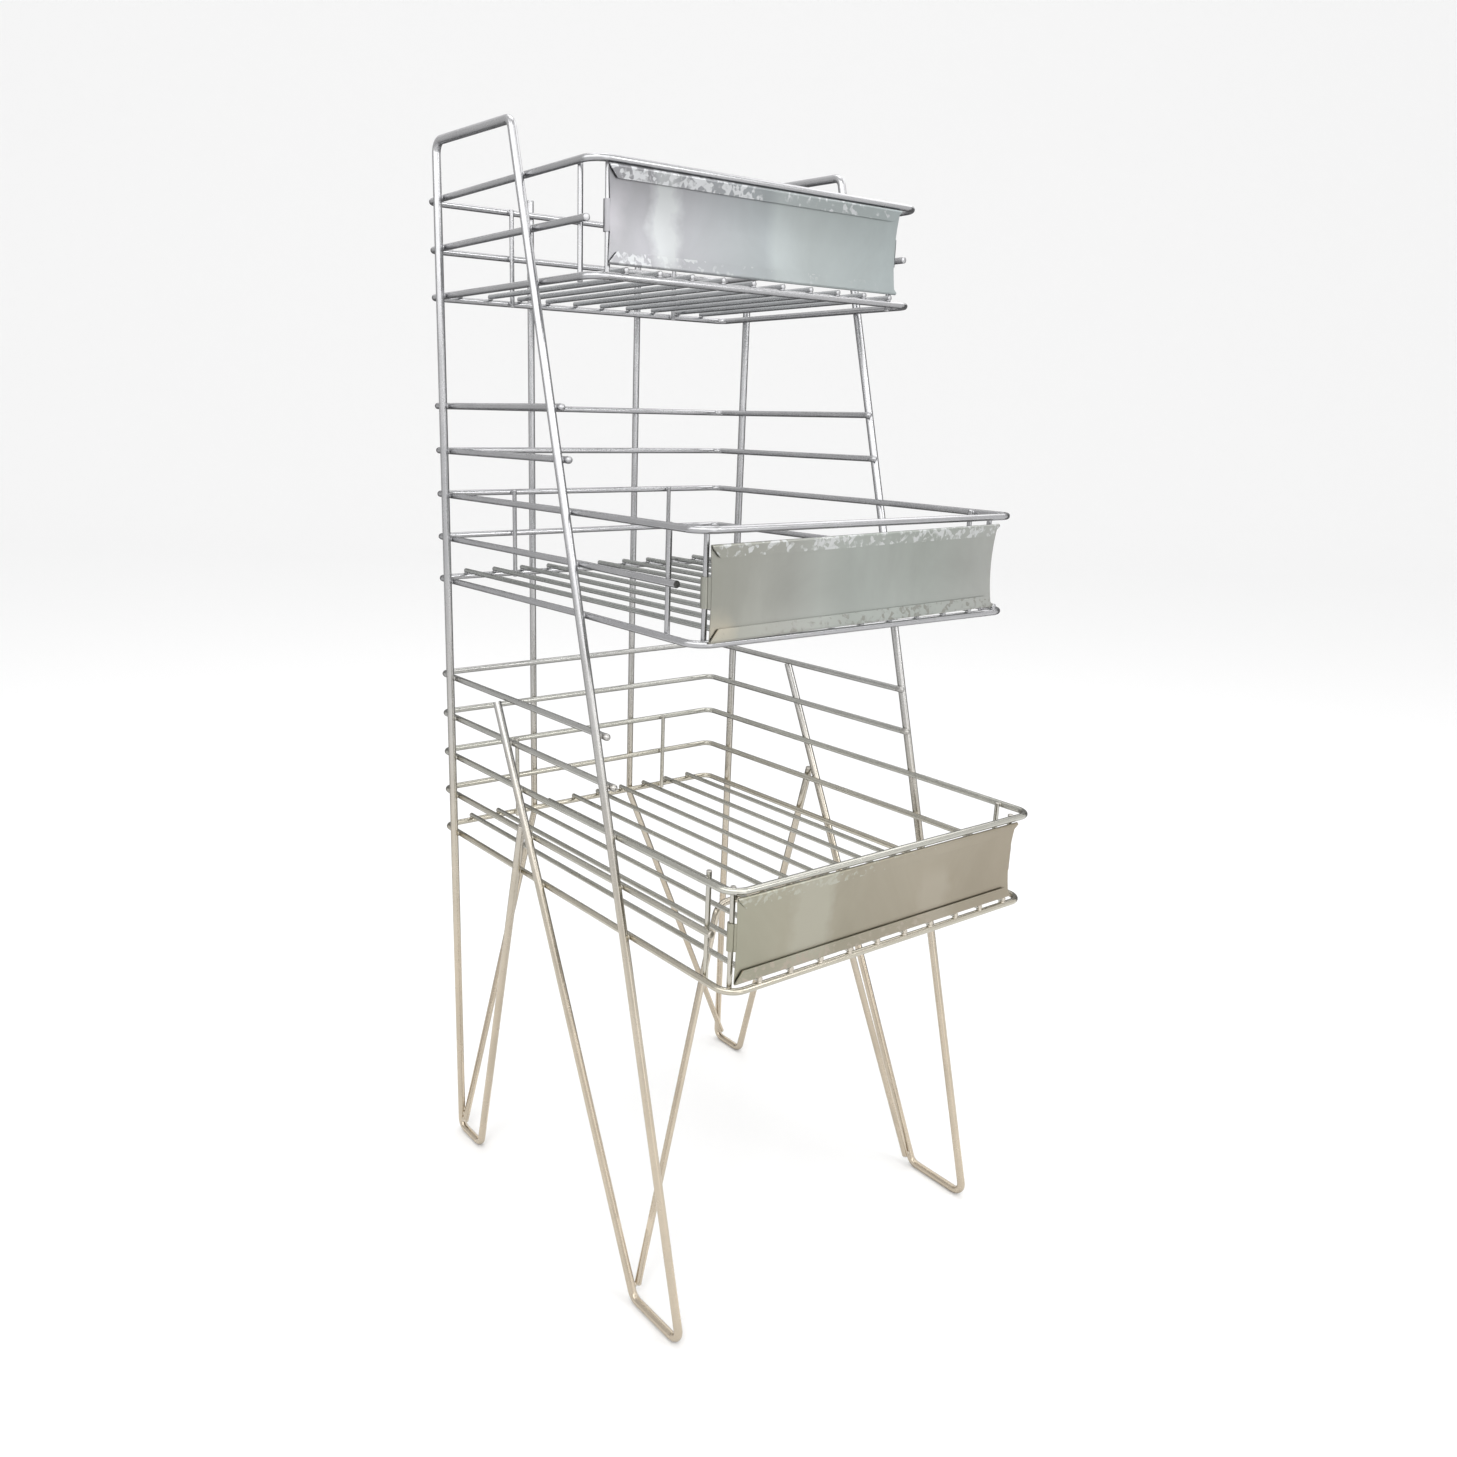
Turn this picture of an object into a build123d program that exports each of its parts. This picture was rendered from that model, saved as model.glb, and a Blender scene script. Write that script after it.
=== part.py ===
from build123d import *
import math
import os
from collections import namedtuple

# Wire display rack with three open baskets that step forward towards the floor.
# Sizes are in millimetres. X runs to the right, the front faces -Y and Z is up.
# While it is built, Y is measured from the rear posts and Z from the floor.
# The saved parts have their origin on the floor, in the middle of the rack.

# Wire and sheet gauges
FRAME_WIRE = 8.0
UPRIGHT_WIRE = 7.0
BRACE_WIRE = 6.8
RAIL_WIRE = 6.0
STAY_WIRE = 4.5
FLOOR_WIRE = 4.8
PANEL_SHEET = 1.0

# Play left between two wires that are welded where they cross
WELD_GAP = 0.1

# Side frames, each one bent wire in a plane of its own
FRAME_SPACING = 384.0
FRAME_BEND = 10.0
HANDLE_LENGTH = 139.5
HANDLE_RISE = 47.25
HANDLE_DROP = 3.5
FOOT_REACH = 420.5
FRONT_FOOT_LENGTH = 72.0
REAR_FOOT_LENGTH = 46.0
FRONT_PROP_LEAN = 248.5
FRONT_PROP_BELOW_GUARD = 4.5
REAR_PROP_ABOVE_RAIL = 9.5

# Heights of the rails
BOTTOM_FLOOR_HEIGHT = 364.0
RAIL_PITCH = 43.0
GUARD_TO_FLOOR = 101.5

# Baskets, with depths from the rear posts to the front wires
BACK_REACH = 33.5
TOP_DEPTH = 255.0
MIDDLE_DEPTH = 412.0
BOTTOM_DEPTH = 458.0
FRONT_BEND = 16.0
BACK_BEND = 10.0
TOP_STAY_SETBACK = 27.0
MIDDLE_STAY_SETBACK = 48.0
BOTTOM_STAY_SETBACK = 36.0
MIDDLE_LEFT_SWAY = -6.4
MIDDLE_RIGHT_SWAY = -16.5
BOTTOM_RIGHT_SWAY = -3.0
RIGHT_RAIL_PAST_STAY = 13.0
TOP_LEFT_RAIL_PAST_STAY = 18.0
MIDDLE_LEFT_RAIL_PAST_STAY = 19.0
BOTTOM_LEFT_RAIL_PAST_STAY = 12.0
GUARD_PAST_LEG = 7.0

# Upright stays inside the baskets, where the count is of whole gaps from the first floor wire
STAY_ABOVE_RIM = 2.0
BOTTOM_LEFT_STAY_ABOVE_RIM = 7.0
LEFT_BACK_STAY_GAP_COUNT = 1
LEFT_BACK_STAY_SHARE = 0.65
RIGHT_BACK_STAY_GAP_COUNT = 7
RIGHT_BACK_STAY_SHARE = 0.7

# Floor wires
FLOOR_WIRE_COUNT = 10
FLOOR_WIRE_MARGIN = 32.0
FLOOR_WIRE_PAST_LOOP = 1.4

# Label panels on the basket fronts, each less long than the frames are apart
TOP_PANEL_LESS = 53.6
MIDDLE_PANEL_LESS = 56.1
BOTTOM_PANEL_LESS = 44.3
PANEL_DISH = 3.0
LEFT_END_HOLLOW = 4.0
RIGHT_END_HOLLOW = 1.0
PANEL_UNDER_RIM = 0.3
PANEL_OVER_FLOOR = 0.3
TOP_PANEL_SHIFT = -6.3
MIDDLE_PANEL_SHIFT = -20.05
BOTTOM_PANEL_SHIFT = -11.0
MIDDLE_PANEL_DROP = 2.0
MIDDLE_PANEL_LEFT_DROP = 6.6
MIDDLE_PANEL_AHEAD = 2.9
LIP_DEPTH = 8.5
LIP_SLOT = 1.4
TAB_HEIGHT = 24.0
TAB_GAP = 0.4
TAB_ROOT = 3.0
TAB_WRAP = 225.0

# Rear uprights and front brace
UPRIGHT_ABOVE_RIM = 15.0
UPRIGHT_GAP_COUNT = 2
UPRIGHT_BEND = 20.0
UPRIGHT_BEND_BELOW_FLOOR = 6.0
UPRIGHT_TIP_HEIGHT = 9.0
BRACE_TOP_WIDTH = 146.0
BRACE_TOP_SETBACK = 150.5
BRACE_BEND = 15.0
BRACE_TIP_HEIGHT = 9.0

# Half widths, from the middle of the rack to a wire's centre
FRAME_X = FRAME_SPACING / 2
RAIL_X = FRAME_X - (FRAME_WIRE + RAIL_WIRE) / 2 - WELD_GAP

# Distance between centres of a rail and a stay that is welded to it
STAY_OFFSET = (RAIL_WIRE + STAY_WIRE) / 2 + WELD_GAP
FLOOR_OFFSET = (RAIL_WIRE + FLOOR_WIRE) / 2 + WELD_GAP
UPRIGHT_Y = BACK_REACH + (RAIL_WIRE + UPRIGHT_WIRE) / 2 + WELD_GAP

# Heights of the wires' centres above the floor
FOOT_Z = FRAME_WIRE / 2
BASKET_HEIGHT = RAIL_PITCH + RAIL_PITCH
TIER_PITCH = BASKET_HEIGHT + BASKET_HEIGHT + GUARD_TO_FLOOR
BOTTOM_RIM_Z = BOTTOM_FLOOR_HEIGHT + BASKET_HEIGHT
MIDDLE_RIM_Z = BOTTOM_RIM_Z + TIER_PITCH
TOP_RIM_Z = MIDDLE_RIM_Z + TIER_PITCH
HANDLE_Z = TOP_RIM_Z + HANDLE_RISE
LEG_TOP_Z = HANDLE_Z - HANDLE_DROP

Basket = namedtuple("Basket", [
    "name", "depth", "rim_z", "stay_setback", "left_rail_past", "left_stay_above",
    "left_sway", "right_sway", "panel_less", "panel_shift", "panel_drop", "panel_left_drop",
    "panel_ahead"])
BASKETS = [
    Basket("top_basket", TOP_DEPTH, TOP_RIM_Z, TOP_STAY_SETBACK,
           TOP_LEFT_RAIL_PAST_STAY, STAY_ABOVE_RIM, 0, 0,
           TOP_PANEL_LESS, TOP_PANEL_SHIFT, 0, 0, 0),
    Basket("middle_basket", MIDDLE_DEPTH, MIDDLE_RIM_Z, MIDDLE_STAY_SETBACK,
           MIDDLE_LEFT_RAIL_PAST_STAY, STAY_ABOVE_RIM, MIDDLE_LEFT_SWAY, MIDDLE_RIGHT_SWAY,
           MIDDLE_PANEL_LESS, MIDDLE_PANEL_SHIFT, MIDDLE_PANEL_DROP, MIDDLE_PANEL_LEFT_DROP,
           MIDDLE_PANEL_AHEAD),
    Basket("bottom_basket", BOTTOM_DEPTH, BOTTOM_RIM_Z, BOTTOM_STAY_SETBACK,
           BOTTOM_LEFT_RAIL_PAST_STAY, BOTTOM_LEFT_STAY_ABOVE_RIM, 0, BOTTOM_RIGHT_SWAY,
           BOTTOM_PANEL_LESS, BOTTOM_PANEL_SHIFT, 0, 0, 0),
]


def middle_y():
    """Middle of the footprint, from the lowest panel's folds to the backs of the uprights."""
    front = min(panel_face_y(basket) for basket in BASKETS) - panel_reach()
    back = UPRIGHT_Y + UPRIGHT_WIRE / 2
    return (front + back) / 2


def save(name, shape):
    """Move a finished piece to the rack's origin and write it."""
    solids = [Pos(0, -middle_y(), 0) * solid for solid in shape.solids()]
    placed = solids[0] if len(solids) < 2 else Compound(solids)
    placed.label = name
    export_step(placed, "parts/" + name + ".step")


def bent_wire(points, diameter, bend, closed=False):
    """Round wire along straight runs joined by bends of one radius."""
    path = FilletPolyline(*points, radius=bend, close=closed)
    section = Plane(origin=path @ 0, z_dir=path % 0) * Circle(diameter / 2)
    return sweep(section, path=path)


def straight_wire(start, end, diameter):
    """Round wire with square ends."""
    run = Vector(*end) - Vector(*start)
    section = Plane(origin=start, z_dir=run) * Circle(diameter / 2)
    return extrude(section, amount=run.length)


def leg_y(z):
    """Place of the sloping front leg's centre at a height."""
    slope = (FOOT_REACH - HANDLE_LENGTH) / (LEG_TOP_Z - FOOT_Z)
    return -FOOT_REACH + slope * (z - FOOT_Z)


def front_prop_top():
    """Free end of the prop that rises from the front foot, as Y and Z."""
    guard_z = BOTTOM_RIM_Z + BASKET_HEIGHT
    foot_y = -FOOT_REACH + FRONT_FOOT_LENGTH
    return foot_y + FRONT_PROP_LEAN, guard_z - FRONT_PROP_BELOW_GUARD


def front_prop_y(z):
    """Place of the front prop's centre at a height."""
    top_y, top_z = front_prop_top()
    return top_y - FRONT_PROP_LEAN * (top_z - z) / (top_z - FOOT_Z)


def rear_prop_top():
    """Free end of the rear foot's prop, which rests against the front prop."""
    z = BOTTOM_RIM_Z - RAIL_PITCH + REAR_PROP_ABOVE_RAIL
    return front_prop_y(z) + FRAME_WIRE + WELD_GAP * 2, z


def side_frame(x):
    """One wire: front prop, front foot, leg, handle, rear post, rear foot, rear prop."""
    outline = [
        front_prop_top(),
        (-FOOT_REACH + FRONT_FOOT_LENGTH, FOOT_Z),
        (-FOOT_REACH, FOOT_Z),
        (-HANDLE_LENGTH, LEG_TOP_Z),
        (0, HANDLE_Z),
        (0, FOOT_Z),
        (-REAR_FOOT_LENGTH, FOOT_Z),
        rear_prop_top(),
    ]
    return bent_wire([(x, y, z) for y, z in outline], FRAME_WIRE, FRAME_BEND)


def floor_wire_places():
    """X of each floor wire."""
    first = -RAIL_X + FLOOR_WIRE_MARGIN
    pitch = (RAIL_X - FLOOR_WIRE_MARGIN) * 2 / (FLOOR_WIRE_COUNT - 1)
    return [first + pitch * index for index in range(FLOOR_WIRE_COUNT)]


def between_floor_wires(gap, share=0.5):
    """X at a share of the gap that follows the floor wire of that number."""
    places = floor_wire_places()
    return places[gap] + (places[gap + 1] - places[gap]) * share


def rear_upright(side):
    """Upright behind the baskets, splayed below them to a rear foot."""
    x = -between_floor_wires(UPRIGHT_GAP_COUNT) * side
    floor_z = BOTTOM_FLOOR_HEIGHT - UPRIGHT_BEND_BELOW_FLOOR
    # Seen from above, the splayed run just clears the front of the rear post
    across = FRAME_X * side - x
    reach = math.hypot(across, UPRIGHT_Y)
    clear = (FRAME_WIRE + UPRIGHT_WIRE) / 2 + WELD_GAP
    angle = math.atan2(UPRIGHT_Y, abs(across)) + math.asin(clear / reach)
    tip_y = UPRIGHT_Y - abs(across) * math.tan(angle)
    points = [
        (x, UPRIGHT_Y, TOP_RIM_Z + UPRIGHT_ABOVE_RIM),
        (x, UPRIGHT_Y, floor_z),
        (FRAME_X * side, tip_y, FOOT_Z + UPRIGHT_TIP_HEIGHT),
    ]
    return bent_wire(points, UPRIGHT_WIRE, UPRIGHT_BEND)


def front_brace():
    """Wire under the bottom basket's floor, splayed to both front feet."""
    top_x = BRACE_TOP_WIDTH / 2
    top_y = -BOTTOM_DEPTH + BRACE_TOP_SETBACK
    floor_z = BOTTOM_FLOOR_HEIGHT + FLOOR_OFFSET
    top_z = floor_z - (FLOOR_WIRE + BRACE_WIRE) / 2 - WELD_GAP
    tip_x = FRAME_X - (FRAME_WIRE + BRACE_WIRE) / 2 - WELD_GAP
    tip_z = FOOT_Z + BRACE_TIP_HEIGHT
    tip_y = front_prop_y(tip_z)
    points = [
        (-tip_x, tip_y, tip_z),
        (-top_x, top_y, top_z),
        (top_x, top_y, top_z),
        (tip_x, tip_y, tip_z),
    ]
    return bent_wire(points, BRACE_WIRE, BRACE_BEND)


def u_rail(front_y, z):
    """Rail along both sides and the back, open at the front."""
    points = [
        (-RAIL_X, front_y, z),
        (-RAIL_X, BACK_REACH, z),
        (RAIL_X, BACK_REACH, z),
        (RAIL_X, front_y, z),
    ]
    return bent_wire(points, RAIL_WIRE, BACK_BEND)


def side_wire_x(basket, side, y):
    """X of a side wire, straight to the front leg and from there leaning to the front corner."""
    sway = basket.left_sway if side < 0 else basket.right_sway
    hinge_y = leg_y(basket.rim_z - BASKET_HEIGHT)
    ahead = max(hinge_y - y, 0)
    return RAIL_X * side + sway * ahead / (hinge_y + basket.depth)


def side_run(basket, side, front_y, z):
    """Points along a side wire, from the back corner to its front end."""
    stops = [BACK_REACH, front_y]
    if side_wire_x(basket, side, front_y) != RAIL_X * side:
        stops.insert(1, leg_y(basket.rim_z - BASKET_HEIGHT))
    return [(side_wire_x(basket, side, y), y, z) for y in stops]


def front_middle_x(basket):
    """X of the middle of a basket's front."""
    left, right = (side_wire_x(basket, side, -basket.depth) for side in (-1, 1))
    return (left + right) / 2


def loop(basket, z):
    """Closed rail round a basket, welded in the middle of its back."""
    left, right = (half_loop(basket, z, side) for side in (-1, 1))
    return left + right


def half_loop(basket, z, side):
    """Half of a closed rail, from the middle of the back to the middle of the front."""
    run = side_run(basket, side, -basket.depth, z)
    bends = [BACK_BEND for point in run[:-1]] + [FRONT_BEND]
    middle_front = (front_middle_x(basket), -basket.depth, z)
    path = FilletPolyline((0, BACK_REACH, z), *run, middle_front, radius=bends)
    section = Plane(origin=path @ 0, z_dir=path % 0) * Circle(RAIL_WIRE / 2)
    return sweep(section, path=path)


def mid_rail(basket):
    """Rail half way up a basket, open at the front and ending past the side stays."""
    z = basket.rim_z - RAIL_PITCH
    stay_y = -basket.depth + basket.stay_setback
    left = side_run(basket, -1, stay_y - basket.left_rail_past, z)
    right = side_run(basket, 1, stay_y - RIGHT_RAIL_PAST_STAY, z)
    return bent_wire(left[::-1] + right, RAIL_WIRE, BACK_BEND)


def floor_wires(basket, floor_z):
    """Floor wires that lie on the floor loop and end just past its middle."""
    z = floor_z + FLOOR_OFFSET
    back_y = BACK_REACH + FLOOR_WIRE_PAST_LOOP
    front_y = -basket.depth - FLOOR_WIRE_PAST_LOOP
    wires = [
        straight_wire((x, front_y, z), (x, back_y, z), FLOOR_WIRE)
        for x in floor_wire_places()
    ]
    return Compound(children=wires)


def stay(x, y, basket, above_rim):
    """Vertical wire from the underside of the floor loop to the rim."""
    low = basket.rim_z - BASKET_HEIGHT - RAIL_WIRE / 2
    high = basket.rim_z + above_rim
    return straight_wire((x, y, low), (x, y, high), STAY_WIRE)


def front_stay_y(x, basket):
    """Y of a stay inside the front wire or inside its rounded corner."""
    side = math.copysign(1, x)
    hinge_y = leg_y(basket.rim_z - BASKET_HEIGHT)
    corner_x = side_wire_x(basket, side, -basket.depth) * side
    lean = math.atan2(corner_x - RAIL_X, hinge_y + basket.depth)
    into_corner = abs(x) - corner_x + FRONT_BEND * math.tan(math.pi / 4 + lean / 2)
    if into_corner <= 0:
        return -basket.depth + STAY_OFFSET
    inside = FRONT_BEND - STAY_OFFSET
    return -basket.depth + FRONT_BEND - math.sqrt(inside ** 2 - into_corner ** 2)


def panel_length(basket):
    """Length of a basket's panel."""
    return FRAME_SPACING - basket.panel_less


def end_hollow(side):
    """How far a panel's end is cut back at mid height, where the stay stands behind it."""
    return LEFT_END_HOLLOW if side < 0 else RIGHT_END_HOLLOW


def panel_stay_x(side, basket):
    """X of the stay behind one hollow end of a basket's panel."""
    return basket.panel_shift + (panel_length(basket) / 2 - end_hollow(side)) * side


def panel_face_y(basket):
    """Y of the deepest part of a panel's face, ahead of its two stays."""
    stay_y = min(front_stay_y(panel_stay_x(side, basket), basket) for side in (-1, 1))
    return stay_y - tab_wrap_radius() - basket.panel_ahead


def tab_wrap_radius():
    """From a stay's centre to the middle of the sheet that is curled round it."""
    return STAY_WIRE / 2 + TAB_GAP + PANEL_SHEET / 2


def basket_stays(basket):
    """The six stays of a basket, by name."""
    back_y = BACK_REACH - STAY_OFFSET
    side_y = -basket.depth + basket.stay_setback
    left_side_x, right_side_x = (
        side_wire_x(basket, side, side_y) - STAY_OFFSET * side for side in (-1, 1))
    left_x, right_x = (panel_stay_x(side, basket) for side in (-1, 1))
    left_back_x = between_floor_wires(LEFT_BACK_STAY_GAP_COUNT, LEFT_BACK_STAY_SHARE)
    right_back_x = between_floor_wires(RIGHT_BACK_STAY_GAP_COUNT, RIGHT_BACK_STAY_SHARE)
    places = {
        "left_back_stay": (left_back_x, back_y, STAY_ABOVE_RIM),
        "right_back_stay": (right_back_x, back_y, STAY_ABOVE_RIM),
        "left_side_stay": (left_side_x, side_y, basket.left_stay_above),
        "right_side_stay": (right_side_x, side_y, STAY_ABOVE_RIM),
        "left_panel_stay": (left_x, front_stay_y(left_x, basket), STAY_ABOVE_RIM),
        "right_panel_stay": (right_x, front_stay_y(right_x, basket), STAY_ABOVE_RIM),
    }
    return {name: stay(x, y, basket, above) for name, (x, y, above) in places.items()}


def panel_height():
    """Height of a panel, between the rim and the tops of the floor wires."""
    room = BASKET_HEIGHT - RAIL_WIRE / 2 - PANEL_UNDER_RIM
    return room - FLOOR_OFFSET - FLOOR_WIRE / 2 - PANEL_OVER_FLOOR


def fold_radius():
    """Radius of the middle of the sheet where a lip is folded back."""
    return (LIP_SLOT + PANEL_SHEET) / 2


def face_lean():
    """Half the height of the dished face, and how far its edges lean forward."""
    half = panel_height() / 2 - fold_radius() - PANEL_SHEET / 2
    curve = (half ** 2 + PANEL_DISH ** 2) / (PANEL_DISH * 2)
    return half, math.asin(half / curve)


def panel_reach():
    """How far a panel's folds stand ahead of the middle of its face."""
    half, lean = face_lean()
    return PANEL_DISH + fold_radius() * math.cos(lean) + fold_radius() + PANEL_SHEET / 2


def panel_section():
    """Dished face with a folded lip slot at each edge, in Y and Z about the face's middle."""
    half, lean = face_lean()
    fold = fold_radius()
    along = Vector(-math.sin(lean), math.cos(lean))
    ahead = Vector(-math.cos(lean), -math.sin(lean))
    end = Vector(-PANEL_DISH, half)
    lip = end + ahead * fold * 2
    face = [
        ThreePointArc(lip, end + (ahead + along) * fold, end),
        ThreePointArc(end, (0, 0), (end.X, -end.Y)),
        ThreePointArc((end.X, -end.Y), flip(end + (ahead + along) * fold), flip(lip)),
    ]
    lips = [Line(lip - along * LIP_DEPTH, lip), Line(flip(lip - along * LIP_DEPTH), flip(lip))]
    return face, lips


def flip(point):
    """Mirror a point of the section top to bottom."""
    return Vector(point.X, -point.Y)


def sheet_strip(lines, length):
    """Sheet of even thickness along lines in Y and Z, centred along X."""
    strip = trace(lines, PANEL_SHEET)
    upright = Plane(origin=(-length / 2, 0, 0), x_dir=(0, 1, 0), z_dir=(1, 0, 0))
    return extrude(upright * strip, amount=length)


def lip_strip(line, length):
    """Lip with both ends cut off diagonally towards its free edge."""
    free, root = line @ 0, line @ 1
    long = length / 2
    short = long - LIP_DEPTH
    over = PANEL_SHEET * math.copysign(1, root.Y - free.Y)
    outline = Polyline(
        (-long, root.Y + over),
        (long, root.Y + over),
        (long, root.Y),
        (short, free.Y),
        (short, free.Y - over),
        (-short, free.Y - over),
        (-short, free.Y),
        (-long, root.Y),
        close=True,
    )
    reach = PANEL_DISH + LIP_DEPTH
    keep = extrude(Plane.XZ * make_face(outline), amount=reach, both=True)
    return sheet_strip([line], length) & keep


def hollow_ends(panel, length):
    """Cut both ends of a panel back to a shallow curve, deepest at mid height."""
    reach = PANEL_DISH + LIP_DEPTH
    end_x, high = length / 2, panel_height() / 2
    outline = [
        ThreePointArc((end_x, -high), (end_x - end_hollow(1), 0), (end_x, high)),
        Line((end_x, high), (-end_x, high)),
        ThreePointArc((-end_x, high), (end_hollow(-1) - end_x, 0), (-end_x, -high)),
        Line((-end_x, -high), (end_x, -high)),
    ]
    return panel & extrude(Plane.XZ * make_face(outline), amount=reach, both=True)


def end_tab(side, length, stay_y):
    """Tab at one end of a panel, curled round the stay behind it."""
    stay_x = (length / 2 - end_hollow(side)) * side
    wrap = tab_wrap_radius()
    turn = math.radians(TAB_WRAP)

    def around(angle):
        return (stay_x + math.sin(angle) * wrap * side, stay_y - math.cos(angle) * wrap)

    neck = Line((stay_x - TAB_ROOT * side, 0), around(0))
    curl = ThreePointArc(around(0), around(turn / 2), around(turn))
    strip = trace([neck, curl], PANEL_SHEET)
    low = Pos(0, 0, -TAB_HEIGHT / 2)
    return extrude(low * strip, amount=TAB_HEIGHT)


def label_panel(basket):
    """Concave label holder under the rim, whose left end may hang lower."""
    length, face_y = panel_length(basket), panel_face_y(basket)
    top = basket.rim_z - RAIL_WIRE / 2 - PANEL_UNDER_RIM - basket.panel_drop
    face, lips = panel_section()
    panel = sheet_strip(face, length)
    for line in lips:
        panel += lip_strip(line, length)
    panel = hollow_ends(panel, length)
    for side in (-1, 1):
        stay_y = front_stay_y(panel_stay_x(side, basket), basket)
        panel += end_tab(side, length, stay_y - face_y)
    tilt = math.degrees(math.asin((basket.panel_left_drop - basket.panel_drop) / length))
    hung = Pos(length / 2, 0, 0) * Rot(0, -tilt, 0) * Pos(-length / 2, 0, 0) * panel
    return Pos(basket.panel_shift, face_y, top - panel_height() / 2) * hung


def save_basket(basket):
    """Rim, mid rail, floor, stays and panel of one basket."""
    floor_z = basket.rim_z - BASKET_HEIGHT
    save(basket.name + "_rim", loop(basket, basket.rim_z))
    save(basket.name + "_mid_rail", mid_rail(basket))
    save(basket.name + "_floor_loop", loop(basket, floor_z))
    save(basket.name + "_floor_wires", floor_wires(basket, floor_z))
    for name, piece in basket_stays(basket).items():
        save(basket.name + "_" + name, piece)
    save(basket.name + "_label_panel", label_panel(basket))


def save_guards(name, rim_z):
    """Two guard rails above a basket, each held by the side frames."""
    for level, z in (("low", rim_z + RAIL_PITCH), ("high", rim_z + BASKET_HEIGHT)):
        save(name + "_guard_" + level, u_rail(leg_y(z) - GUARD_PAST_LEG, z))


def main():
    os.makedirs("parts", exist_ok=True)
    save("left_side_frame", side_frame(-FRAME_X))
    save("right_side_frame", side_frame(FRAME_X))
    save("left_rear_upright", rear_upright(-1))
    save("right_rear_upright", rear_upright(1))
    save("front_brace", front_brace())
    save_guards("middle", MIDDLE_RIM_Z)
    save_guards("bottom", BOTTOM_RIM_Z)
    for basket in BASKETS:
        save_basket(basket)


main()
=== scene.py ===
import math

import bmesh
import bpy
from mathutils import Matrix, Vector, noise
from mathutils.bvhtree import BVHTree


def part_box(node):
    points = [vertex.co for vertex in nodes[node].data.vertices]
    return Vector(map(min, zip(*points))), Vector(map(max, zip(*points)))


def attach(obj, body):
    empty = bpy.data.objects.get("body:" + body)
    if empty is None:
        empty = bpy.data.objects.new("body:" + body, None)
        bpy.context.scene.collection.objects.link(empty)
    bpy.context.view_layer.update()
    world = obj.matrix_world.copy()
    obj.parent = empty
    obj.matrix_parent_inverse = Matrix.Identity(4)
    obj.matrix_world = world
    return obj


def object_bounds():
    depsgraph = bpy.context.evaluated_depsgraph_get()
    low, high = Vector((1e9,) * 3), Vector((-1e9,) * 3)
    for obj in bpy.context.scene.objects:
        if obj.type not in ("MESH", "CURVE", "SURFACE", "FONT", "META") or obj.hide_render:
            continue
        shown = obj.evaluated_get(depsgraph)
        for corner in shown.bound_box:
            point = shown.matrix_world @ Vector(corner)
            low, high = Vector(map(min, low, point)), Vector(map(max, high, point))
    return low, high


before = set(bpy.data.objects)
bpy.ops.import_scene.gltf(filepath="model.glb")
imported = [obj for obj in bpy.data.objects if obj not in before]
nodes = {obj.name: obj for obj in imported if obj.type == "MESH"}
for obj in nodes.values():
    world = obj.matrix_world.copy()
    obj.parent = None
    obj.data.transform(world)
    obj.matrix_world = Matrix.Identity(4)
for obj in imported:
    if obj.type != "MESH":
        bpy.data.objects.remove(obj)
cad_box = [list(corner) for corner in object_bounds()]
TOP = cad_box[1][2]

MM = 0.001
SHELVES = ("top_basket", "middle_basket", "bottom_basket")
LEGS = ("left_side_frame", "right_side_frame", "left_rear_upright", "right_rear_upright", "front_brace")

# Camera, from the fit of the photograph
CAMERA_PLACE = (-0.74739, -0.90304, 0.80208)
CAMERA_HEADING = 36.135
CAMERA_DOWN = 16.374
CAMERA_ROLL = 1.2
CAMERA_LENS = 29.54
CAMERA_SENSOR = 36
CAMERA_SHIFT = (0.0562, 0.0281)

# Soft lights: name, place, what they point at, size and power
LIGHTS = (
    ("key", (-1.9, -1.5, 2.7), (0, 0, 0.6), (0.9, 1.4), 24),
    ("rim", (1.6, -2.6, 1.9), (0, 0, 0.6), (0.5, 1.6), 12),
    ("top", (0.3, 0.5, 3.0), (0, 0, 0.4), (1.6, 1.6), 16),
)
SURROUND_GLOW = 0.95

# Pale floor: half its width, where it begins and ends, the bend up into the wall, and the wall's height
FLOOR_HALF_WIDTH = 12.0
FLOOR_START = -9.0
FLOOR_END = 6.0
FLOOR_BEND = 3.0
FLOOR_BEND_STEPS = 24
WALL_HEIGHT = 10.0
FLOOR_COLOUR = (0.96, 0.96, 0.96)
STAGE_ROUGHNESS = 0.9
BLACK = (0, 0, 0)

# Studio cards that only bright metal reflects: angles to the right of the camera's line of sight,
# how far away, from and up to what height, and how bright
CARDS = (
    (-102, -58, 1.3, 0.0, 1.9, 0.72),
    (-58, 52, 1.3, 0.0, 1.25, 0.22),
    (52, 76, 1.3, 0.0, 1.35, 0.16),
    (125, 255, 1.6, 1.0, 2.4, 2.4),
    (25, 85, 1.6, 1.75, 3.0, 2.4),
    (138, 152, 1.5, 0.0, 0.95, 2.0),
    (152, 166, 1.5, 0.42, 0.98, 1.6),
)
CARD_STEPS = 12
CARD_LIFT = 0.01

# Dark floor that only the wires' edges reflect: from its nearest to its farthest line, seen from the
# camera's side, half its width, and how bright it is
DARK_FLOOR = (0.50, 1.45, 0.90, 0.16)
DARK_FLOOR_LIFT = 2 * MM

# Low bright strips behind the feet, which only the feet's tops reflect: how far behind and beyond the
# foot, from and up to what height, and how bright
FOOT_STRIP = (0.035, 0.05, 0.012, 0.075, 1.25)
FOOT_HEIGHT = 6.0 * MM

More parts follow.
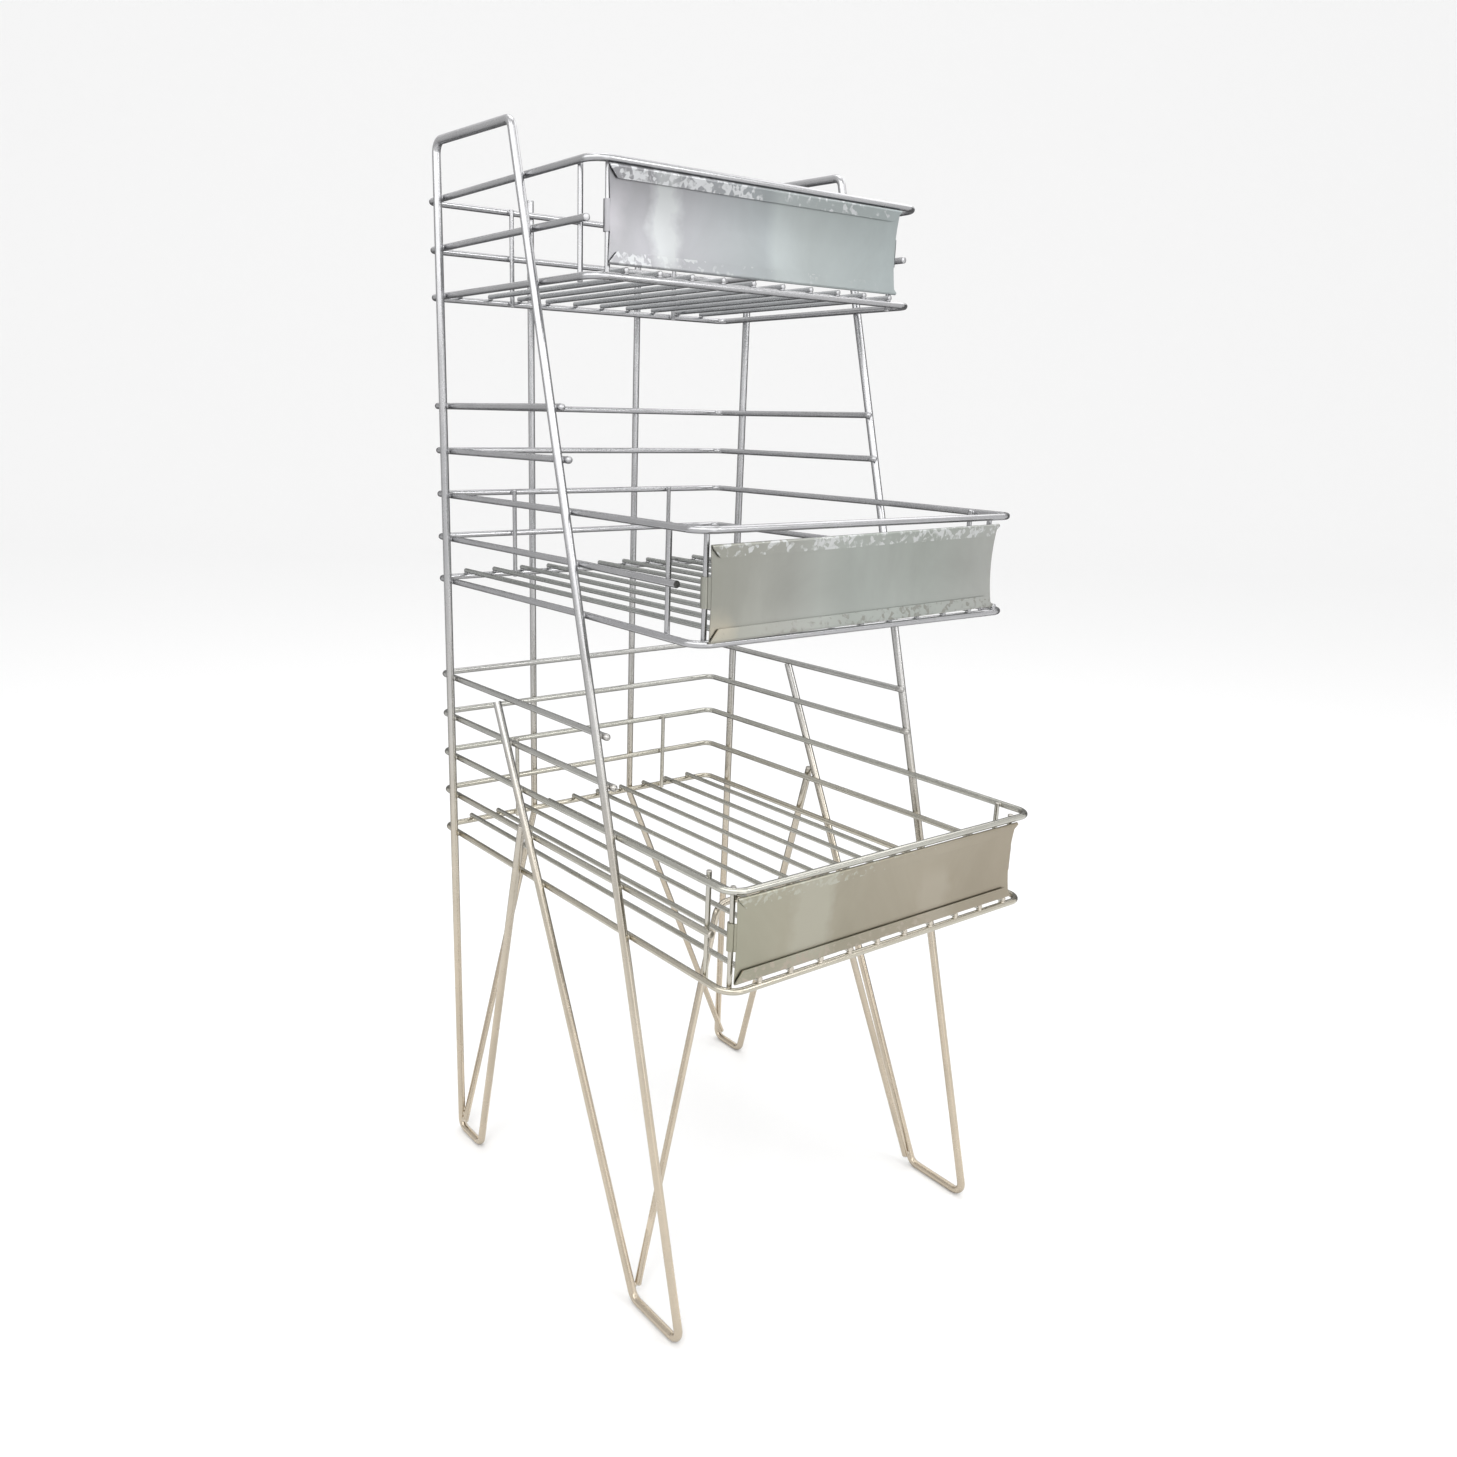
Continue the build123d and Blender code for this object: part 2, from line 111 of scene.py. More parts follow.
# Welds: how near two wires come where they are welded, how fine the wires are sliced to find them,
# the lump's half sizes, and how far apart two welds of the same pair of nodes are
WELD_REACH = 0.5 * MM
SLICE_STEP = 1.0 * MM
WELD_WIDE = 2.5 * MM
WELD_THICK = 1.25 * MM
WELD_SPACING = 6 * MM
SAME_POINT = 1e-6

# A weld's uneven skin: how far it swells, how coarse, and how its seed grows with the faces before it
WELD_SWELL = 0.22
WELD_COARSE = 1.7
SEED_SPREAD = 3.1
SEED_STEP = 0.01

# A cutting plane stands this share of a step above its level, so that it meets no vertex
LEVEL_SHIFT = 1e-3

# Wire ends: flat discs of at least so many triangles, round and filled to this share
END_FLATNESS = 0.3 * MM
END_TRIANGLES = 6
END_ROUNDNESS = 0.9
END_LARGEST = 5 * MM
END_SPACING = 9 * MM
CAP_SIDES = 20
CAP_TIP = 0.02 * MM

# Caps on wire ends: millimetres past the end, and the share of the wire's radius there. The knob is
# rounded and swells a little past a squeezed neck, and the cut end has its edge worn round.
KNOB = ((-7.0, 0.98), (-5.5, 1.03), (-3.0, 1.10), (-1.2, 1.11),
        (0.2, 1.02), (1.1, 0.82), (1.7, 0.52), (1.95, 0.2))
CUT_END = ((-1.4, 0.98), (-0.9, 1.02), (0.0, 1.015), (0.25, 0.93), (0.45, 0.72), (0.52, 0.3))

# Panels: from the foremost fold back to the face's middle, the slope of the lips, how far from the
# middle they begin, and how far back they reach along that slope
FACE_BEHIND_FOLD = 5.88 * MM
LIP_LEAN = 0.17
LIP_INNER = 25.0 * MM
LIP_BEHIND = 1.8 * MM

# Wire plating: dull blotches and dark specks as stops of a ramp, the painted shade on the wire's
# underside, and how far the roughness strays above and below the wire's own
BLOTCHES = ((0.35, (0.94, 0.94, 0.94)), (0.65, (1.04, 1.04, 1.04)))
SPECKS = ((0.24, (0.60, 0.56, 0.50)), (0.34, (1, 1, 1)))
SPECK_STRENGTH = 0.18
UNDERSIDE_PAINTED_SHADE = (0.60, 0.60, 0.61)
UNDERSIDE_PAINTED_SHADE_FROM = -0.95
UNDERSIDE_PAINTED_SHADE_TO = -0.15
WIRE_ROUGHER = 0.07
WIRE_SMOOTHER = 0.03

# Sheet plating: clouds, wavy edges of the patches, which are partly painted reflection, and the range of its
# roughness
CLOUDS = ((0.3, (0.90, 0.90, 0.89)), (0.7, (1.08, 1.08, 1.09)))
PATCH_WAVE = 0.12
PATCH_SIDE_SOFT = 0.018
PATCH_END_SOFT = 0.12
SHEET_ROUGHNESS = (0.30, 0.42)

# Crystals on the lips, spangle painted as bright highlights: how much the cells and the noise count,
# the level where they begin when they are rarest, how much lower it is when they are most common,
# and the softness of their edges
CELL_SCALE = 290.0
CELL_WEIGHT = 0.42
NOISE_WEIGHT = 0.75
RAREST_LEVEL = 0.90
LEVEL_RANGE = 0.38
CRYSTAL_EDGE = 0.10
CRYSTAL_STRENGTH = 0.85

# Sockets of a Mix node that mixes colours
MIX_FIRST = 6
MIX_SECOND = 7
MIX_RESULT = 2


# Camera, lights and stage

def place_camera():
    data = bpy.data.cameras.new("photo_camera")
    data.lens = CAMERA_LENS
    data.sensor_width = CAMERA_SENSOR
    data.shift_x, data.shift_y = CAMERA_SHIFT
    camera = bpy.data.objects.new("photo_camera", data)
    bpy.context.scene.collection.objects.link(camera)
    turn = Matrix.Rotation(-math.radians(CAMERA_HEADING), 4, "Z")
    turn = turn @ Matrix.Rotation(math.radians(90 - CAMERA_DOWN), 4, "X")
    turn = turn @ Matrix.Rotation(math.radians(CAMERA_ROLL), 4, "Z")
    camera.matrix_world = Matrix.Translation(CAMERA_PLACE) @ turn
    bpy.context.scene.camera = camera


def area_light(name, place, target, size, power):
    data = bpy.data.lights.new(name, "AREA")
    data.shape = "RECTANGLE"
    data.size, data.size_y = size
    data.energy = power
    light = bpy.data.objects.new(name, data)
    bpy.context.scene.collection.objects.link(light)
    light.location = place
    light.rotation_euler = (Vector(target) - Vector(place)).to_track_quat("-Z", "Y").to_euler()


def studio():
    world = bpy.data.worlds.new("studio")
    bpy.context.scene.world = world
    world.use_nodes = True
    background = world.node_tree.nodes["Background"]
    background.inputs["Color"].default_value = (1, 1, 1, 1)
    background.inputs["Strength"].default_value = SURROUND_GLOW
    for light in LIGHTS:
        area_light(*light)
    bpy.context.scene.view_settings.view_transform = "Standard"


def sweep():
    """The pale floor, which curves up into a wall behind the rack."""
    line = [(FLOOR_START, 0.0), (FLOOR_END, 0.0)]
    for step in range(1, FLOOR_BEND_STEPS + 1):
        a = math.pi / 2 * step / FLOOR_BEND_STEPS
        line.append((FLOOR_END + FLOOR_BEND * math.sin(a), FLOOR_BEND * (1 - math.cos(a))))
    line.append((FLOOR_END + FLOOR_BEND, WALL_HEIGHT))
    verts, faces = [], []
    for y, z in line:
        verts += [(-FLOOR_HALF_WIDTH, y, z), (FLOOR_HALF_WIDTH, y, z)]
    for i in range(len(line) - 1):
        faces.append((2 * i, 2 * i + 1, 2 * i + 3, 2 * i + 2))
    floor = stage_mesh("floor", verts, faces, FLOOR_COLOUR)
    floor.rotation_euler = (0, 0, -math.radians(CAMERA_HEADING))


def stage_mesh(name, verts, faces, colour, glow=0.0):
    mesh = bpy.data.meshes.new(name)
    mesh.from_pydata(verts, [], faces)
    mesh.polygons.foreach_set("use_smooth", [True] * len(faces))
    obj = bpy.data.objects.new(name, mesh)
    bpy.context.scene.collection.objects.link(obj)
    material = bpy.data.materials.new("pale_" + name)
    material.use_nodes = True
    shader = material.node_tree.nodes["Principled BSDF"]
    shader.inputs["Base Color"].default_value = (*colour, 1)
    shader.inputs["Roughness"].default_value = STAGE_ROUGHNESS
    shader.inputs["Emission Color"].default_value = (1, 1, 1, 1)
    shader.inputs["Emission Strength"].default_value = glow
    mesh.materials.append(material)
    return obj


def studio_cards():
    """Dark and bright cards round the rack and on the floor behind it."""
    for number, (start, end, away, low, high, glow) in enumerate(CARDS):
        verts, faces = [], []
        for step in range(CARD_STEPS + 1):
            a = math.radians(CAMERA_HEADING + start + (end - start) * step / CARD_STEPS)
            x, y = away * math.sin(a), away * math.cos(a)
            verts += [(x, y, low + CARD_LIFT), (x, y, high)]
        for step in range(CARD_STEPS):
            faces.append((2 * step, 2 * step + 1, 2 * step + 3, 2 * step + 2))
        reflected_only(stage_mesh("card_%d" % number, verts, faces, BLACK, glow))
    near, far, half, glow = DARK_FLOOR
    corners = ((-half, near), (half, near), (half, far), (-half, far))
    verts = [(x, y, DARK_FLOOR_LIFT) for x, y in corners]
    dark = stage_mesh("dark_floor", verts, [(0, 1, 2, 3)], BLACK, glow)
    dark.rotation_euler = (0, 0, -math.radians(CAMERA_HEADING))
    reflected_only(dark)


def foot_strips():
    """A low strip behind each of the side frames' four feet."""
    for side in ("left_side_frame", "right_side_frame"):
        low_points = [p for p in solids[side].points if p.z < FOOT_HEIGHT]
        foot_strip("strip_%s_front" % side, [p for p in low_points if p.y < 0])
        foot_strip("strip_%s_rear" % side, [p for p in low_points if p.y > 0])


def foot_strip(name, points):
    behind, beyond, low, high, glow = FOOT_STRIP
    heading = math.radians(CAMERA_HEADING)
    x = sum(p.x for p in points) / len(points) + behind * math.sin(heading)
    start = min(p.y for p in points) - beyond + behind * math.cos(heading)
    end = max(p.y for p in points) + beyond + behind * math.cos(heading)
    verts = [(x, start, low), (x, end, low), (x, end, high), (x, start, high)]
    reflected_only(stage_mesh(name, verts, [(0, 1, 2, 3)], BLACK, glow))


def reflected_only(card):
    """Hides a card from all but reflections."""
    card.visible_camera = False
    card.visible_diffuse = False
    card.visible_shadow = False


# Materials

class Graph:
    """A material and short ways to add and link its nodes."""

    def __init__(self, name):
        self.material = bpy.data.materials.new(name)
        self.material.use_nodes = True
        self.tree = self.material.node_tree
        self.shader = self.tree.nodes["Principled BSDF"]
        coordinates = self.tree.nodes.new("ShaderNodeTexCoord")
        self.place = coordinates.outputs["Object"]

    def add(self, kind, values=None, **settings):
        node = self.tree.nodes.new(kind)
        for key, value in settings.items():
            setattr(node, key, value)
        for key, value in (values or {}).items():
            self.put(node.inputs[key], value)
        return node

    def put(self, socket, value):
        if isinstance(value, bpy.types.NodeSocket):
            self.tree.links.new(value, socket)
        else:
            socket.default_value = value

    def math(self, operation, a, b=0.0):
        node = self.add("ShaderNodeMath", operation=operation)
        self.put(node.inputs[0], a)
        self.put(node.inputs[1], b)
        return node.outputs[0]

    def noise(self, scale, detail=3.0, rough=0.5, stretch=(1, 1, 1), distortion=0.0):
        mapping = self.add("ShaderNodeMapping", {"Vector": self.place, "Scale": stretch})
        values = {"Vector": mapping.outputs[0], "Scale": scale, "Detail": detail}
        values.update({"Roughness": rough, "Distortion": distortion})
        return self.add("ShaderNodeTexNoise", values).outputs["Fac"]

    def ramp(self, fac, *stops):
        node = self.add("ShaderNodeValToRGB", {"Fac": fac})
        elements = node.color_ramp.elements
        while len(elements) < len(stops):
            elements.new(0.5)
        for element, (place, colour) in zip(elements, stops):
            element.position = place
            element.color = colour if len(colour) == 4 else (*colour, 1)
        return node.outputs[0]

    def mix(self, fac, a, b, blend="MIX"):
        node = self.add("ShaderNodeMix", data_type="RGBA", blend_type=blend)
        self.put(node.inputs[0], fac)
        self.put(node.inputs[MIX_FIRST], a)
        self.put(node.inputs[MIX_SECOND], b)
        return node.outputs[MIX_RESULT]

    def between(self, value, low, high, to_low=0.0, to_high=1.0):
        values = {"Value": value, "From Min": low, "From Max": high}
        values.update({"To Min": to_low, "To Max": to_high})
        return self.add("ShaderNodeMapRange", values).outputs[0]

    def axis(self, letter):
        return self.add("ShaderNodeSeparateXYZ", {"Vector": self.place}).outputs[letter]

    def facing(self, letter):
        normal = self.add("ShaderNodeNewGeometry").outputs["Normal"]
        return self.add("ShaderNodeSeparateXYZ", {"Vector": normal}).outputs[letter]

    def hump(self, value, low, high, soft):
        """One between two values and nought outside them, with soft edges."""
        rise = self.between(value, low - soft, low + soft)
        fall = self.between(value, high - soft, high + soft, 1.0, 0.0)
        return self.math("MULTIPLY", rise, fall)

    def bump(self, height, strength, distance):
        values = {"Height": height, "Strength": strength, "Distance": distance}
        normal = self.add("ShaderNodeBump", values).outputs["Normal"]
        self.put(self.shader.inputs["Normal"], normal)


def wire_metal(name, tones, rough):
    """Old bright plating on wire, with dull spots; its tone follows the height as a painted reflection, and
    its underside is darkened as painted shade.
    """
    g = Graph(name)
    # Painted reflection: the base colour changes with height, warmer low down and cooler higher up.
    height = g.between(g.axis("Z"), 0, TOP)
    colour = g.ramp(height, *[(z / TOP, tone) for z, tone in tones])
    blotch = g.ramp(g.noise(scale=22, detail=4, rough=0.6), *BLOTCHES)
    colour = g.mix(1.0, colour, blotch, "MULTIPLY")
    speck = g.ramp(g.noise(scale=150, detail=2, rough=0.6), *SPECKS)
    colour = g.mix(SPECK_STRENGTH, colour, speck, "MULTIPLY")
    # Painted shade: faces that point down are darkened in the base colour.
    painted_underside_shade = g.between(g.facing("Z"), UNDERSIDE_PAINTED_SHADE_FROM, UNDERSIDE_PAINTED_SHADE_TO)
    colour = g.mix(painted_underside_shade, g.mix(1.0, colour, (*UNDERSIDE_PAINTED_SHADE, 1), "MULTIPLY"), colour)
    g.put(g.shader.inputs["Base Color"], colour)
    g.shader.inputs["Metallic"].default_value = 1.0
    worn = g.noise(scale=45, detail=4, rough=0.65)
    dull = g.between(worn, 0.3, 0.75, rough - WIRE_SMOOTHER, rough + WIRE_ROUGHER)
    g.put(g.shader.inputs["Roughness"], dull)
    g.bump(g.noise(scale=260, detail=3, rough=0.6), strength=0.018, distance=0.0002)
    return g.material


def sheet_metal(name, node, look):
    """Satin plated sheet: cloudy along its length, with tones and patches that are partly painted reflection,
    and with spangle crystals on its two lips, painted as bright highlights.
    """
    low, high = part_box(node)
    g = Graph(name)
    along = g.between(g.axis("X"), low[0], high[0])
    up = g.between(g.axis("Z"), low[2], high[2])
    # Partly painted reflection: the tone along the panel's length and the patches stand in for reflected
    # light as well as the sheet's own tone.
    colour = g.ramp(along, *look["tones"])
    clouds = g.noise(scale=11, detail=5, rough=0.6, stretch=(1, 1, 0.6), distortion=0.6)
    colour = g.mix(1.0, colour, g.ramp(clouds, *CLOUDS), "MULTIPLY")
    for start, end, low_up, high_up, tone in look["patches"]:
        uneven = g.math("SUBTRACT", g.noise(scale=26, detail=4, rough=0.6), 0.5)
        wave = g.math("MULTIPLY", uneven, PATCH_WAVE)
        across = g.hump(g.math("ADD", along, wave), start, end, PATCH_SIDE_SOFT)
        upward = g.hump(g.math("ADD", up, wave), low_up, high_up, PATCH_END_SOFT)
        colour = g.mix(g.math("MULTIPLY", across, upward), colour, (*tone, 1))
    # Painted highlight: crystals on the lips are painted in bright tones, brightest on the upper lip, which
    # faces up.
    is_upper = g.math("GREATER_THAN", up, 0.5)
    spangle_highlight = g.mix(is_upper, (*look["low_spangle_highlight"], 1), (*look["spangle_highlight"], 1))
    spangle_highlights = lip_spangle_highlights(g, along, is_upper, look)
    colour = g.mix(g.math("MULTIPLY", lip_mask(g, node, look["tilt"]), spangle_highlights), colour, spangle_highlight)
    g.put(g.shader.inputs["Base Color"], colour)
    g.shader.inputs["Metallic"].default_value = 1.0
    dull = g.between(g.noise(scale=14, detail=5, rough=0.6), 0.3, 0.7, *SHEET_ROUGHNESS)
    g.put(g.shader.inputs["Roughness"], dull)
    g.bump(g.noise(scale=120, detail=4, rough=0.6), strength=0.05, distance=0.0005)
    return g.material


def lip_mask(g, node, tilt):
    """One on a panel's two folded lips and nought on the dished face behind them."""
    low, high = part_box(node)
    middle = (low[2] + high[2]) / 2
    slope = tilt / (high[0] - low[0])
    level = g.math("SUBTRACT", g.axis("Z"), middle - slope * (low[0] + high[0]) / 2)
    level = g.math("SUBTRACT", level, g.math("MULTIPLY", g.axis("X"), slope))
    away = g.math("ABSOLUTE", level)
    ahead = g.math("SUBTRACT", g.axis("Y"), low[1] + FACE_BEHIND_FOLD)
    lean = g.math("ADD", ahead, g.math("MULTIPLY", away, LIP_LEAN))
    near_edge = g.math("GREATER_THAN", away, LIP_INNER)
    return g.math("MULTIPLY", near_edge, g.math("LESS_THAN", lean, LIP_BEHIND))


def lip_spangle_highlights(g, along, is_upper, look):
    """Scalloped spangle patches painted as highlights, as common along each lip as the look says."""
    cells = g.add("ShaderNodeTexVoronoi", {"Vector": g.place, "Scale": CELL_SCALE, "Randomness": 1.0})
    cell = g.add("ShaderNodeSeparateColor", {"Color": cells.outputs["Color"]}).outputs[0]
    ragged = g.noise(scale=70, detail=4, rough=0.65, distortion=1.0)
    field = g.math("ADD", g.math("MULTIPLY", cell, CELL_WEIGHT), g.math("MULTIPLY", ragged, NOISE_WEIGHT))
    share = g.mix(is_upper, g.ramp(along, *look["lower"]), g.ramp(along, *look["upper"]))
    level = g.math("SUBTRACT", RAREST_LEVEL, g.math("MULTIPLY", share, LEVEL_RANGE))
    return g.between(field, level, g.math("ADD", level, CRYSTAL_EDGE), 0.0, CRYSTAL_STRENGTH)


def paint(obj, material):
    slots = obj.data.materials
    if len(slots):
        for i in range(len(slots)):
            slots[i] = material
    else:
        slots.append(material)


def add_mesh(name, verts, faces, material):
    mesh = bpy.data.meshes.new(name)
    mesh.from_pydata(verts, [], faces)
    mesh.polygons.foreach_set("use_smooth", [True] * len(faces))
    mesh.update()
    obj = bpy.data.objects.new(name, mesh)
    bpy.context.scene.collection.objects.link(obj)
    mesh.materials.append(material)
    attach(obj, "root")
    return obj


# Finding the welds: a node is cut by many level planes, and each cut wire is tried against the others

class Solid:
    """A node's welded vertices and triangles, with a search tree."""

    def __init__(self, name):
        self.name = name
        bm = bmesh.new()
        bm.from_mesh(nodes[name].data)
        bmesh.ops.remove_doubles(bm, verts=bm.verts, dist=SAME_POINT)
        bmesh.ops.triangulate(bm, faces=bm.faces)
        bm.verts.ensure_lookup_table()
        self.points = [v.co.copy() for v in bm.verts]
        self.triangles = [[v.index for v in f.verts] for f in bm.faces]
        self.normals = [f.normal.copy() for f in bm.faces]
        self.areas = [f.calc_area() for f in bm.faces]
        bm.free()
        self.tree = BVHTree.FromPolygons(self.points, self.triangles)
        self.low = Vector([min(p[i] for p in self.points) for i in range(3)])
        self.high = Vector([max(p[i] for p in self.points) for i in range(3)])

    def near(self, point, reach):
        return all(self.low[i] - reach <= point[i] <= self.high[i] + reach for i in range(3))

    def cuts(self, axis, step):
        """The centre and radius of each wire section, for level after level along an axis."""
        levels = {}
        for triangle in self.triangles:
            heights = [self.points[i][axis] for i in triangle]
            first = math.ceil(min(heights) / step)
            last = math.floor(max(heights) / step)
            for level in range(first, last + 1):
                self.cut(triangle, axis, (level + LEVEL_SHIFT) * step, levels.setdefault(level, []))
        for level in sorted(levels):
            yield from rings(levels[level])

    def cut(self, triangle, axis, height, found):
        ends = []
        for k in range(3):
            i, j = sorted((triangle[k], triangle[(k + 1) % 3]))
            a, b = self.points[i], self.points[j]
            if (a[axis] - height) * (b[axis] - height) < 0:
                share = (height - a[axis]) / (b[axis] - a[axis])
                ends.append(((i, j), a.lerp(b, share)))
        if len(ends) == 2:
            found.append(ends)


def rings(segments):
    """Groups cut triangles into closed sections, and gives each one's centre and radius."""
    owner, groups = {}, {}
    for number, ends in enumerate(segments):
        mine = {number}
        for key, _ in ends:
            if key in owner:
                mine |= groups[owner[key]]
        for other in mine:
            for key, _ in segments[other]:
                owner[key] = number
        groups[number] = mine
    done = set()
    for number in owner.values():
        if number in done:
            continue
        done.add(number)
        points = [p for other in groups[number] for _, p in segments[other]]
        low = Vector([min(p[i] for p in points) for i in range(3)])
        high = Vector([max(p[i] for p in points) for i in range(3)])
        sizes = sorted(high - low)
        yield (low + high) / 2, sizes[1] / 2


def touches(wire, others, axis, step):
    """Where one node's wires come within the weld's reach of other nodes, nearest point only."""
    found = []
    for centre, radius in wire.cuts(axis, step):
        for other in others:
            if other is wire or not other.near(centre, radius + WELD_REACH):
                continue
            spot, _, _, distance = other.tree.find_nearest(centre, radius + WELD_REACH)
            if spot is not None and distance < radius + WELD_REACH:
                found.append((distance - radius, centre, spot, other.name))
    found.sort(key=lambda one: one[0])
    kept = []
    for gap, centre, spot, other in found:
        if all((spot - k[1]).length > WELD_SPACING or other != k[2] for k in kept):
            kept.append((centre, spot, other))
    return kept


def lump(verts, faces, spot, normal, seed):
    """One weld nugget: a flattened ball with an uneven skin, across the line between two wires."""
    bm = bmesh.new()
    bmesh.ops.create_icosphere(bm, subdivisions=2, radius=1)
    turn = normal.to_track_quat("Z", "Y").to_matrix()
    start = len(verts)
    for v in bm.verts:
        p = v.co.copy()
        shift = Vector((seed * SEED_SPREAD, seed, 0))
        swell = 1 + WELD_SWELL * noise.noise(p * WELD_COARSE + shift)
        p = Vector((p.x * WELD_WIDE, p.y * WELD_WIDE, p.z * WELD_THICK)) * swell
        verts.append(spot + turn @ p)
    for f in bm.faces:
        faces.append([start + v.index for v in f.verts])
    bm.free()


def weld_piece(name, wires, others, axis, material):
    verts, faces = [], []
    for wire in wires:
        for centre, spot, _ in touches(wire, others, axis, SLICE_STEP):
            normal = (spot - centre).normalized()
            lump(verts, faces, spot, normal, len(faces) * SEED_STEP)
    if verts:
        add_mesh(name, verts, faces, material)


# Wire ends

def end_discs(solid):
    """The flat round ends of a node's wires: centre, outward direction and radius."""
    groups = {}
    for triangle, normal, area in zip(solid.triangles, solid.normals, solid.areas):
        middle = sum((solid.points[i] for i in triangle), Vector()) / 3
        key = (*(round(c, 2) for c in normal), round(normal.dot(middle) / END_FLATNESS))
        groups.setdefault(key, []).append((middle, normal, area, triangle))
    for members in groups.values():
        if len(members) < END_TRIANGLES:
            continue
        for cluster in near_clusters(members):
            corners = {i for m in cluster for i in m[3]}
            centre = sum((solid.points[i] for i in corners), Vector()) / len(corners)
            reach = [(solid.points[i] - centre).length for i in corners]
            radius = max(reach)
            is_round = min(reach) > END_ROUNDNESS * radius
            is_filled = sum(m[2] for m in cluster) > END_ROUNDNESS * math.pi * radius ** 2
            if is_round and is_filled and radius < END_LARGEST:
                yield centre, cluster[0][1], radius


def near_clusters(members):
    """Splits coplanar triangles into groups that lie together."""
    left = list(members)
    while left:
        seed = left.pop()
        cluster, rest = [seed], []
        for one in left:
            is_near = (one[0] - seed[0]).length < END_SPACING
            (cluster if is_near else rest).append(one)
        left = rest
        if len(cluster) >= END_TRIANGLES:
            yield cluster


def turned_cap(verts, faces, centre, direction, profile):
    """A closed cap turned about a wire's end, from a list of (distance past the end, radius)."""
    sides = CAP_SIDES
    turn = direction.to_track_quat("Z", "Y").to_matrix()
    start = len(verts)
    for past, radius in profile:
        for k in range(sides):
            a = 2 * math.pi * k / sides
            verts.append(centre + turn @ Vector((radius * math.cos(a), radius * math.sin(a), past)))
    for row in range(len(profile) - 1):
        for k in range(sides):
            a, b = start + row * sides + k, start + row * sides + (k + 1) % sides
            faces.append([a, b, b + sides, a + sides])
    for row, tip in ((0, profile[0][0]), (len(profile) - 1, profile[-1][0] + CAP_TIP)):
        verts.append(centre + turn @ Vector((0, 0, tip)))
        middle = len(verts) - 1
        for k in range(sides):
            a, b = start + row * sides + k, start + row * sides + (k + 1) % sides
            faces.append([middle, b, a] if row == 0 else [middle, a, b])


def end_piece(name, solid, shape, material):
    verts, faces = [], []
    for centre, direction, radius in end_discs(solid):
        profile = [(past * MM, share * radius) for past, share in shape]
        turned_cap(verts, faces, centre, direction, profile)
    if verts:
        add_mesh(name, verts, faces, material)


# Putting it together

# Wire tones by height are painted reflections: warmer low down, cooler higher up.
COOL = (0.46, 0.46, 0.47)
leg_metal = wire_metal("leg_wire_plating", (
    (0.20, (0.53, 0.46, 0.365)), (0.36, (0.51, 0.465, 0.39)), (0.50, (0.48, 0.47, 0.45)), (0.66, COOL)), 0.24)
rail_metal = wire_metal("rail_wire_plating", (
    (0.34, (0.51, 0.47, 0.385)), (0.45, (0.48, 0.475, 0.43)), (0.62, (0.44, 0.44, 0.45))), 0.22)
stay_metal = wire_metal("stay_wire_plating", (
    (0.34, (0.52, 0.49, 0.42)), (0.45, (0.46, 0.45, 0.41)), (0.62, (0.43, 0.43, 0.44))), 0.25)
floor_metal = wire_metal("floor_wire_plating", (
    (0.34, (0.44, 0.43, 0.38)), (0.60, (0.38, 0.39, 0.37)), (0.90, (0.44, 0.45, 0.46))), 0.24)
weld_metal = wire_metal("weld_metal", (
    (0.34, (0.58, 0.53, 0.45)), (0.45, (0.50, 0.48, 0.44)), (0.62, (0.44, 0.44, 0.45))), 0.34)
